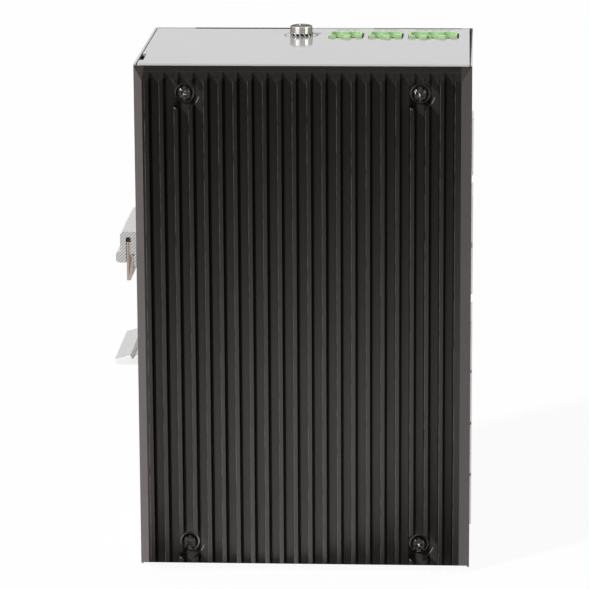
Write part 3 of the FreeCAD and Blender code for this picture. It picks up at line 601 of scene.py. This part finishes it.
def black_nickel():
    """Black plate, with patches of bright steel in the cross as painted glints."""
    owner, start = new_material("black_nickel")
    where = placed(start)
    deep = where.parts()[1]
    crosses = []
    for place in screw_places:
        right, _, up = placed(start, place.translation).parts()
        crosses.append(1 - right.reach(up).over(1.4 * MM))
    recess = any_of(crosses) * deep.over(head_face + 0.26 * MM) * (1 - deep.over(head_face + 1.3 * MM))
    cloud = noise(start, where, 300, 3)
    # painted glints: bright steel in patches of the cross recess
    recess_glint = recess * noise(start, where, 1300, 2).over(0.53, 0.05)
    plate = cloud.blend((0.030, 0.0285, 0.027), (0.042, 0.040, 0.038))
    values = {"Base Color": recess_glint.blend(plate, (0.70, 0.68, 0.65)), "Roughness": 0.13 + cloud * 0.1,
              "Metallic": recess_glint.most(0.5)}
    return finish(start, owner, values, noise(start, where, 2400, 2), 0.004 * MM, 0.1 * MM)


screw_set = set_pieces("sink_screw_set", sink_screw, screw_places, black_nickel(),
                       "sink_screws")

# a spring washer on a flat washer under each head
washer_bore, washer_gap = 1.65 * MM, 0.05 * MM
flat_radius, flat_gauge = 3.2 * MM, 0.5 * MM
spring_radius, spring_gauge = 2.75 * MM, 0.7 * MM
spring_low = flat_gauge + washer_gap
spring_ring = turned_ring(washer_bore, spring_radius, spring_low, spring_low + spring_gauge)
spring_washer = as_mesh("spring_washer", spring_ring)
made = turned_ring(washer_bore, flat_radius, 0.0, flat_gauge)
made.from_mesh(spring_washer)
washer_set = set_pieces("sink_washer_set", as_mesh("washers", made), seat_places,
                        metal("black_zinc", (0.055, 0.052, 0.049), 0.35, metallic=0.9, edge=0.1 * MM),
                        None)
finned_side.objects.link(washer_set)

# the key light glints in the screws, and only there
glint = add_sun("screw_glint", key_direction, 3.5, 12)
glint.visible_diffuse = False
glint.light_linking.receiver_collection = group_of("screw_group", [screw_set])


# ---------------------------------------------------------------- rail bracket
# A length of extruded aluminium, its ends saw-cut, that hooks over the rail. A bowed leaf
# of tempered steel, folded back inside its own bow, sits in a slot of the hook.
bracket_low, bracket_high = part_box("rail_bracket")


def extruded_aluminium():
    """Drawn skin along the length; saw marks run slantwise over the cut ends of the hook."""
    owner, start = new_material("extruded_aluminium")
    across, deep, level = placed(start).parts()
    ends = abs(deep).over(bracket_high.y - 0.05 * MM)
    on_hook = level.over(bracket_low.z + 20 * MM)
    slant = ((across - level) * 0.707).wrapped(0.76 * MM)
    marks = abs(slant).over(0.18 * MM, 0.12 * MM)
    drawn = noise(start, placed(start, scale=(1, 0.02, 1)), 3200, 2)
    grain = noise(start, placed(start), 2600, 3)
    cloud = noise(start, placed(start), 120, 3)
    skin = (drawn * 0.6 + cloud * 0.4).blend((0.52, 0.515, 0.515), (0.64, 0.635, 0.635))
    sawn = (marks * 0.8 + grain * 0.3).blend((0.33, 0.32, 0.305), (0.60, 0.595, 0.585))
    sawn = on_hook.blend((0.88, 0.87, 0.865), sawn)
    height = ends * (marks * on_hook * 0.7 + grain * 0.3) * 4 + (1 - ends) * drawn
    values = {"Base Color": ends.blend(skin, sawn), "Roughness": 0.30 + cloud * 0.08 + ends * 0.12,
              "Metallic": 0.85}
    return finish(start, owner, values, height, 0.008 * MM, 0.12 * MM)


dress(extruded_aluminium(), "rail_bracket")
dress(metal("tempered_leaf", (0.46, 0.41, 0.36), 0.20, 1500, 0.003, stretch=(1, 0.05, 1)), "rail_spring")

# section of the inner fold in millimetres, from the mounting face and the bracket's lower end
fold_section = [(-4.0, 28.65), (-2.9, 34.675), (-3.8, 36.525), (-3.8, 39.95), (-3.3, 40.0), (-3.3, 41.3),
                (-4.5, 41.3), (-4.5, 40.0), (-4.0, 39.95)]
fold_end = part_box("rail_spring")[1].y - 0.35 * MM
made = bmesh.new()
ring = [made.verts.new((bracket_high.x + x * MM, -fold_end, bracket_low.z + z * MM)) for x, z in fold_section]
face = made.faces.new(ring)
grown = bmesh.ops.extrude_face_region(made, geom=[face])["geom"]
bmesh.ops.translate(made, verts=[item for item in grown if isinstance(item, bmesh.types.BMVert)],
                    vec=(0, 2 * fold_end, 0))
bmesh.ops.recalc_face_normals(made, faces=made.faces)
inner_fold = as_object("spring_inner_fold", made)


def worn_leaf():
    """Brown tempered steel, with painted shade at the top of the slot."""
    owner, start = new_material("worn_leaf")
    level = placed(start).parts()[2]
    drawn = noise(start, placed(start, scale=(1, 0.05, 1)), 1500, 2)
    # painted shade darkens the leaf at the top of the slot
    slot_shade = level.over(bracket_low.z + 39.8 * MM, 0.3 * MM)
    colour = slot_shade.blend(drawn.blend((0.22, 0.19, 0.16), (0.30, 0.26, 0.22)), (0.05, 0.047, 0.044))
    values = {"Base Color": colour, "Roughness": 0.35 + drawn * 0.1, "Metallic": 1 - slot_shade * 0.5}
    return finish(start, owner, values, drawn, 0.004 * MM)


inner_fold.data.materials.append(worn_leaf())
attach(inner_fold, "root")


# ---------------------------------------------------------------- bracket and cover screws
# Zinc-plated M3 screws in clinch nuts: four low heads hold the bracket to the rear of the
# case, and four pan heads hold the far side of the cover.
zinc = metal("zinc_plate", (0.72, 0.72, 0.71), 0.25, edge=0.12 * MM)
dress(zinc, "clinch_nuts", "ground_nut", "wall_standoffs", "board_screws")
low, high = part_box("bracket_screws")
low_height = 1.2 * MM
bracket_screw = cross_head_screw(pan_radius, low_height, 0.7 * MM, 1.0 * MM, shank_radius,
                                 high.x - low.x - low_height, 0.8 * MM)
places = []
for turn, y, z in ((20, low.y, low.z), (64, low.y, high.z), (41, high.y, low.z), (75, high.y, high.z)):
    centre = (low.x + low_height, y + math.copysign(pan_radius, -y),
              z + (pan_radius if z == low.z else -pan_radius))
    places.append(Matrix.Translation(centre) @ Matrix.Rotation(math.radians(-90), 4, "Y") @ Matrix.Rotation(
        math.radians(turn), 4, "Z"))
set_pieces("bracket_screw_set", bracket_screw, places, zinc, "bracket_screws")

low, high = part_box("cover_screws")
cover_screw = cross_head_screw(pan_radius, pan_height, 1.1 * MM, 1.6 * MM, shank_radius,
                               high.y - low.y - pan_height, 1.2 * MM)
places = []
for turn, x, z in ((12, low.x, low.z), (57, low.x, high.z), (33, high.x, low.z), (71, high.x, high.z)):
    centre = (x + math.copysign(pan_radius, -x), high.y - pan_height,
              z + (pan_radius if z == low.z else -pan_radius))
    places.append(Matrix.Translation(centre) @ Matrix.Rotation(math.radians(-90), 4, "X") @ Matrix.Rotation(
        math.radians(turn), 4, "Z"))
set_pieces("cover_screw_set", cover_screw, places, zinc, "cover_screws")


# ---------------------------------------------------------------- earth terminal
# A nickel-plated M4 pan-head screw with a cross recess, over a washer whose outer teeth
# are twisted so that they bite through the paint.
nickel = metal("polished_nickel", (0.47, 0.45, 0.43), 0.12, edge=0.12 * MM, rim=(0.25, 0.2, 0.17))
earth_low, earth_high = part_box("ground_screw")
earth_radius, earth_height, earth_shank = 3.6 * MM, 2.5 * MM, 2.0 * MM
earth_screw = cross_head_screw(earth_radius, earth_height, 0.5 * MM, 0.9 * MM, earth_shank,
                               earth_high.z - earth_low.z - earth_height, 1.5 * MM)
seat = Vector((ground_middle.x, ground_middle.y, earth_high.z - earth_height))
earth_place = Matrix.Translation(seat) @ Matrix.Rotation(math.radians(24), 4, "Z")
earth_set = set_pieces("earth_screw", earth_screw, [earth_place], nickel, "ground_screw")

washer_gauge, washer_lift = 0.5 * MM, 0.18 * MM
ring_inner, ring_outer = 2.15 * MM, 2.95 * MM
tooth_count, tooth_end, tooth_root = 15, 3.7 * MM, 0.3 * MM
tooth_gauge, tooth_narrow, tooth_wide = 0.26 * MM, 0.95 * MM, 1.25 * MM
tooth_twist, tooth_lift = math.radians(-50), 0.15 * MM
made = turned_ring(ring_inner, ring_outer, 0.0, washer_gauge)
for number in range(tooth_count):
    tooth = bmesh.ops.create_cube(made, size=1.0)["verts"]
    for corner in tooth:
        width = tooth_narrow if corner.co.x < 0 else tooth_wide
        corner.co = Vector((corner.co.x * (tooth_end - ring_outer + tooth_root), corner.co.y * width,
                            corner.co.z * tooth_gauge))
    bmesh.ops.rotate(made, verts=tooth, cent=(0, 0, 0), matrix=Matrix.Rotation(tooth_twist, 3, "X"))
    bmesh.ops.translate(made, verts=tooth,
                        vec=((ring_outer - tooth_root + tooth_end) / 2, 0, washer_gauge / 2 + tooth_lift))
    bmesh.ops.rotate(made, verts=tooth, cent=(0, 0, 0),
                     matrix=Matrix.Rotation(2 * math.pi * number / tooth_count, 3, "Z"))
bmesh.ops.translate(made, verts=made.verts,
                    vec=(ground_middle.x, ground_middle.y, ground_low.z + washer_lift))
washer = as_object("tooth_washer", made)


def washer_plate():
    """Nickel plate that is bright on the teeth, with painted shade on the ring between them under the head."""
    owner, start = new_material("washer_nickel")
    x, y, _ = placed(start, ground_middle).parts()
    bright = x.reach(y).over(ring_outer + 0.12 * MM, 0.1 * MM)
    grain = noise(start, placed(start), 2000, 2)
    # painted shade darkens the ring under the head
    colour = (bright * (0.85 + grain * 0.3)).blend((0.012, 0.010, 0.009), (0.80, 0.78, 0.75))
    values = {"Base Color": colour, "Roughness": 0.14 + grain * 0.06 + (1 - bright) * 0.4, "Metallic": 1.0}
    return finish(start, owner, values, grain, 0.004 * MM)


washer.data.materials.append(washer_plate())
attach(washer, "root")
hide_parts("ground_washer")

# two lit screens beside the table, which only the polished parts here show
screen_height, screen_away, screen_power = 0.5, 0.65, 10.0
polished = group_of("polished", [earth_set, washer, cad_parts["base_chassis"]])
for name, turn, width in (("left_screen", -42, 0.50), ("right_screen", 65, 0.34)):
    screen = add_screen(name, "RECTANGLE", width, screen_height, screen_power * width * screen_height)
    toward = Vector((math.sin(math.radians(turn)), -math.cos(math.radians(turn)), 0.42)).normalized()
    screen.location = Vector((ground_middle.x, ground_middle.y, ground_high.z)) + toward * screen_away
    aim(screen, toward)
    screen.light_linking.receiver_collection = polished


# ---------------------------------------------------------------- terminal headers
# Light green polyamide housings that stand in openings of the top plate and take the
# cable plugs, with tinned square pins.
def plastic(name, colour, roughness=0.4, depth=0.006, spread=0.08, edge=0.15 * MM):
    """Cloudy moulding, its depth of grain in millimetres."""
    owner, start = new_material(name)
    where = placed(start)
    grain = noise(start, where, 4000, 2)
    cloud = noise(start, where, 220, 3)
    darker = [part * (1 - spread) for part in colour]
    paler = [min(1, part * (1 + spread)) for part in colour]
    values = {"Base Color": cloud.blend(darker, paler), "Roughness": roughness + cloud * 0.1}
    return finish(start, owner, values, grain, depth * MM, edge)


green = plastic("green_polyamide", (0.42, 0.635, 0.315))
dress(green, "terminal_header_1", "terminal_header_2", "terminal_header_3")
dress(metal("tin_plate", (0.83, 0.83, 0.82), 0.18), "header_pins")


# ---------------------------------------------------------------- boards and parts
# Two glass-laminate boards on stand-offs and the small link board between them, with
# their plugs, chips, capacitors, transformer and relay. All of it is out of sight.
dress(plastic("solder_resist", (0.02, 0.13, 0.05), 0.35), "main_board", "power_board", "link_board")
dress(plastic("black_moulding", (0.012, 0.012, 0.012)), "link_plug_main", "link_plug_power", "link_socket_main",
      "link_socket_power", "lamp_housing")
dress(metal("nickelled_brass", (0.72, 0.66, 0.50), 0.22), "long_spacers")
dress(plastic("chip_moulding", (0.02, 0.02, 0.021), 0.5), "switch_chip", "port_chips")
dress(plastic("thermal_silicone", (0.34, 0.39, 0.45), 0.7), "thermal_pad")
dress(plastic("can_sleeve", (0.03, 0.03, 0.05), 0.3), "capacitors")
dress(plastic("ferrite", (0.03, 0.028, 0.026), 0.6), "power_transformer")
dress(plastic("relay_case", (0.02, 0.04, 0.12), 0.2), "alarm_relay")


# ---------------------------------------------------------------- ports
# Shielded jacks two high with eight gilt spring contacts in each port, sheet-metal cages
# with spring fingers for fibre modules, and a column of lamps.
jack_names = ["port_jack_1", "port_jack_2", "port_jack_3", "port_jack_4", "console_jack"]
port_inset, latch_height = 2.0 * MM, 1.8 * MM
port_height, port_width, port_depth = 7.0 * MM, 11.8 * MM, 15.0 * MM
# each port: where it begins beyond its latch, the way it opens from there, and its middle
jack_ports = []
for name in jack_names:
    low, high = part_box(name)
    middle = (low.z + high.z) / 2
    jack_ports.append((low.y + port_inset + latch_height, 1, middle))
    if name != "console_jack":
        jack_ports.append((high.y - port_inset - latch_height, -1, middle))
jack_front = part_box("port_jack_1")[1].x


def shielded_jack():
    """Tinned shield outside, black moulding inside each port."""
    owner, start = new_material("jack_shield")
    across, deep, level = placed(start).parts()
    slack = 0.05 * MM
    insides = []
    for step, away, middle in jack_ports:
        centre = step + away * (port_height - latch_height) / 2
        half = (port_height + latch_height) / 2
        insides.append(deep.near(centre, half + slack) * level.near(middle, port_width / 2 + slack))
    inner = any_of(insides) * (1 - across.over(jack_front - 0.35 * MM))
    inner = inner * across.over(jack_front - port_depth - 0.1 * MM)
    grain = noise(start, placed(start), 1800, 2)
    cloud = noise(start, placed(start), 140, 3)
    tinned = cloud.blend((0.60, 0.60, 0.595), (0.72, 0.72, 0.71))
    values = {"Base Color": inner.blend(tinned, (0.014, 0.014, 0.014)),
              "Roughness": 0.22 + cloud * 0.1 + inner * 0.15, "Metallic": 1 - inner}
    return finish(start, owner, values, grain, 0.004 * MM, 0.1 * MM)


dress(shielded_jack(), *jack_names)

# contact wires: each slopes back from the wall of its port that is away from the latch
wire_count, wire_pitch, wire_side = 8, 1.02 * MM, 0.36 * MM
wire_front, wire_back = jack_front - 1.6 * MM, jack_front - 9.0 * MM
front_rise, back_rise = 0.5 * MM, 3.0 * MM
foot_top, foot_end = 3.2 * MM, -0.2 * MM
made = bmesh.new()
for step, away, middle in jack_ports:
    end = step + away * port_height
    for number in range(wire_count):
        level = middle + (number - (wire_count - 1) / 2) * wire_pitch
        wire = bmesh.ops.create_cube(made, size=1.0)["verts"]
        for corner in wire:
            front = corner.co.x > 0
            corner.co = Vector((wire_front if front else wire_back,
                                end - away * (front_rise if front else back_rise) + corner.co.y * wire_side,
                                level + corner.co.z * wire_side))
        foot = bmesh.ops.create_cube(made, size=1.0)["verts"]
        for corner in foot:
            corner.co = Vector((wire_back + (corner.co.x - 0.5) * wire_side,
                                end - away * (foot_top if corner.co.y > 0 else foot_end),
                                level + corner.co.z * wire_side))
bmesh.ops.recalc_face_normals(made, faces=made.faces)
contacts = as_object("jack_contacts", made)
contacts.data.materials.append(metal("gilt_contact", (0.90, 0.66, 0.28), 0.18))
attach(contacts, "root")

cage_boxes = [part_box(name) for name in ("module_cage_1", "module_cage_2")]
cage_middle = (cage_boxes[0][0] + cage_boxes[1][1]) / 2
vent_pitch, vent_half, vent_set_back = 5.0 * MM, 1.0 * MM, 8.0 * MM


def cage_plate():
    """Bright nickel silver sheet; the rows of small square vents in the sides of the cages are dark squares of
    painted shade, not cut.
    """
    owner, start = new_material("cage_plate")
    across, deep, _ = placed(start, cage_middle).parts()
    grain = noise(start, placed(start), 1800, 2)
    cloud = noise(start, placed(start), 140, 3)
    painted_vent_shade = across.wrapped(vent_pitch).near(0.0, vent_half, 0.05 * MM)
    painted_vent_shade = painted_vent_shade * deep.wrapped(vent_pitch).near(0.0, vent_half, 0.05 * MM)
    painted_vent_shade = painted_vent_shade * (1 - across.over(cage_boxes[0][1].x - cage_middle.x - vent_set_back))
    plate = cloud.blend((0.60, 0.60, 0.58), (0.73, 0.73, 0.70))
    values = {"Base Color": painted_vent_shade.blend(plate, (0.02, 0.02, 0.02)), "Roughness": 0.2 + cloud * 0.1,
              "Metallic": 0.95}
    return finish(start, owner, values, grain, 0.004 * MM, 0.1 * MM)


dress(cage_plate(), "module_cage_1", "module_cage_2")

# earthing fingers round the mouth of each cage slot, bent inwards
finger_count, finger_pitch, finger_set_back = 5, 2.6 * MM, 0.3 * MM
finger_reach, finger_width, finger_gauge, finger_bend = 6.0 * MM, 1.5 * MM, 0.16 * MM, 0.9 * MM
cage_wall = 0.4 * MM
made = bmesh.new()
for low, high in cage_boxes:
    for row in (0, 1):
        slot_low = low.y + row * (high.y - low.y) / 2 + cage_wall
        slot_high = low.y + (row + 1) * (high.y - low.y) / 2 - cage_wall
        for number in range(finger_count):
            level = (low.z + high.z) / 2 + (number - (finger_count - 1) / 2) * finger_pitch
            for wall, inward in ((slot_low, 1), (slot_high, -1)):
                finger = bmesh.ops.create_cube(made, size=1.0)["verts"]
                for corner in finger:
                    front = corner.co.x > 0
                    bend = 0.0 if front else finger_bend
                    corner.co = Vector((high.x - finger_set_back - (0.0 if front else finger_reach),
                                        wall + inward * (bend + (corner.co.y + 0.5) * finger_gauge),
                                        level + corner.co.z * finger_width))
bmesh.ops.recalc_face_normals(made, faces=made.faces)
fingers = as_object("cage_fingers", made)
fingers.data.materials.append(metal("finger_bronze", (0.78, 0.70, 0.52), 0.2))
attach(fingers, "root")

# domed lenses of the status lamps
lens_low, lens_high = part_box("status_lamps")
lens_count, lens_radius = 6, (lens_high.y - lens_low.y) / 2
lens_pitch = (lens_high.z - lens_low.z - 2 * lens_radius) / (lens_count - 1)
lens_profile = rounded(lens_radius, lens_high.x - lens_low.x, 0.9 * MM, 1.35 * MM)
lens = as_mesh("lens", turned([(0.0, 0.0)] + lens_profile))
outward = Matrix.Rotation(math.radians(90), 4, "Y")
lens_places = []
for number in range(lens_count):
    level = lens_low.z + lens_radius + lens_pitch * number
    lens_places.append(Matrix.Translation((lens_low.x, (lens_low.y + lens_high.y) / 2, level)) @ outward)
lamp_clear = plastic("lamp_lens", (0.55, 0.62, 0.50), 0.12, depth=0.001)
set_pieces("lamp_lens_set", lens, lens_places, lamp_clear, "status_lamps")


# ---------------------------------------------------------------- side light
# Two level lights show the ports and the far side. The finned side and the polished
# screws need none of them.
unlit = (floor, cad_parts["heat_sink"], screw_set, washer_set, washer, earth_set)
cased = group_of("cased", [item for item in bpy.context.scene.collection.all_objects
                           if item.type == "MESH" and item not in unlit])
for name, toward in (("port_side_light", (1.0, -0.12, 0.0)), ("far_side_light", (-0.1, 1.0, 0.0))):
    lamp = add_sun(name, toward, 1.7, 30)
    lamp.light_linking.receiver_collection = cased
    lamp.visible_glossy = False
